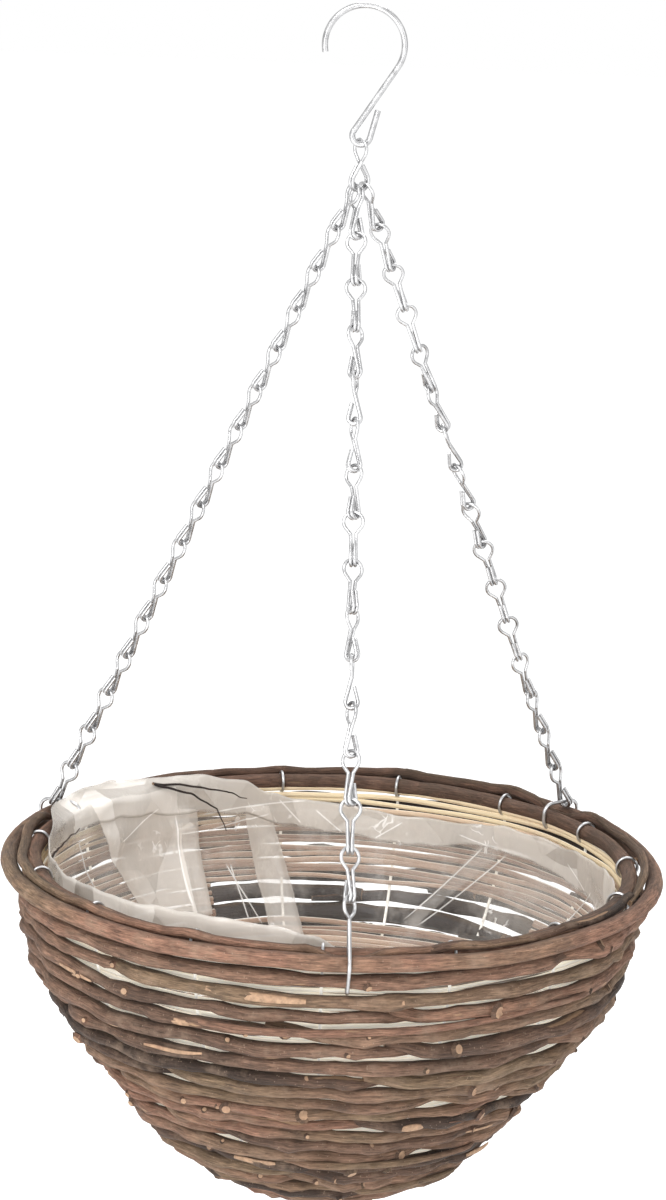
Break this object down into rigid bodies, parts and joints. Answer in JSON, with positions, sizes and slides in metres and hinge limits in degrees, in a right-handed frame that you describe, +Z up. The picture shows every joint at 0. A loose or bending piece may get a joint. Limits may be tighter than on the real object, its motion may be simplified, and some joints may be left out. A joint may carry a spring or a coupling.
{
  "type": "hanging willow basket",
  "caption": "Round bowl basket of bent willow rods with a plastic liner, hung by three wire-link chains from one hook.",
  "frame": {"origin": "the point under the top of the hook's crook where the hook rests on its support", "axes": "+Z up along the hanging line, -Y towards the front chain's side, +X to the right seen from the front"},
  "size_m": [0.35, 0.352, 0.6391],
  "materials": {
    "galvanised_hook": "satin galvanised wire",
    "galvanised_wire": "bright galvanised wire, lightly marked",
    "willow_bark": "rough dry bark",
    "willow_split": "dry peeled wood",
    "liner_film": "milky translucent film"
  },
  "bodies": {
    "hook": {"hook": "galvanised_hook"},
    "top_link": {"top_link": "galvanised_wire"},
    "basket": {"left_link_01": "galvanised_wire", "left_link_02": "galvanised_wire", "left_link_03": "galvanised_wire", "left_link_04": "galvanised_wire", "left_link_05": "galvanised_wire", "left_link_06": "galvanised_wire", "left_link_07": "galvanised_wire", "left_link_08": "galvanised_wire", "left_link_09": "galvanised_wire", "left_link_10": "galvanised_wire", "left_link_11": "galvanised_wire", "left_link_12": "galvanised_wire", "left_link_13": "galvanised_wire", "left_link_14": "galvanised_wire", "left_link_15": "galvanised_wire", "left_link_16": "galvanised_wire", "right_link_01": "galvanised_wire", "right_link_02": "galvanised_wire", "right_link_03": "galvanised_wire", "right_link_04": "galvanised_wire", "right_link_05": "galvanised_wire", "right_link_06": "galvanised_wire", "right_link_07": "galvanised_wire", "right_link_08": "galvanised_wire", "right_link_09": "galvanised_wire", "right_link_10": "galvanised_wire", "right_link_11": "galvanised_wire", "right_link_12": "galvanised_wire", "right_link_13": "galvanised_wire", "right_link_14": "galvanised_wire", "right_link_15": "galvanised_wire", "right_link_16": "galvanised_wire", "front_link_01": "galvanised_wire", "front_link_02": "galvanised_wire", "front_link_03": "galvanised_wire", "front_link_04": "galvanised_wire", "front_link_05": "galvanised_wire", "front_link_06": "galvanised_wire", "front_link_07": "galvanised_wire", "front_link_08": "galvanised_wire", "front_link_09": "galvanised_wire", "front_link_10": "galvanised_wire", "front_link_11": "galvanised_wire", "front_link_12": "galvanised_wire", "front_link_13": "galvanised_wire", "front_link_14": "galvanised_wire", "front_link_15": "galvanised_wire", "left_clip": "galvanised_wire", "right_clip": "galvanised_wire", "front_clip": "galvanised_wire", "rim_rod": "willow_bark", "rim_hoop": "willow_bark", "wall_rods": "willow_bark", "flank_splits": "willow_split", "bottom_splits": "willow_split", "rib_wires": "galvanised_wire", "liner": "liner_film"}
  },
  "joints": [
    {"name": "top_link_swing", "type": "hinge", "parent": "hook", "child": "top_link", "pos_m": [0, 0, -0.0718], "axis": [0.7986, 0.6018, 0], "range_deg": [-30, 30]},
    {"name": "basket_swing", "type": "hinge", "parent": "top_link", "child": "basket", "pos_m": [0, 0, -0.0882], "axis": [0.6018, -0.7986, 0], "range_deg": [-30, 30]}
  ]
}
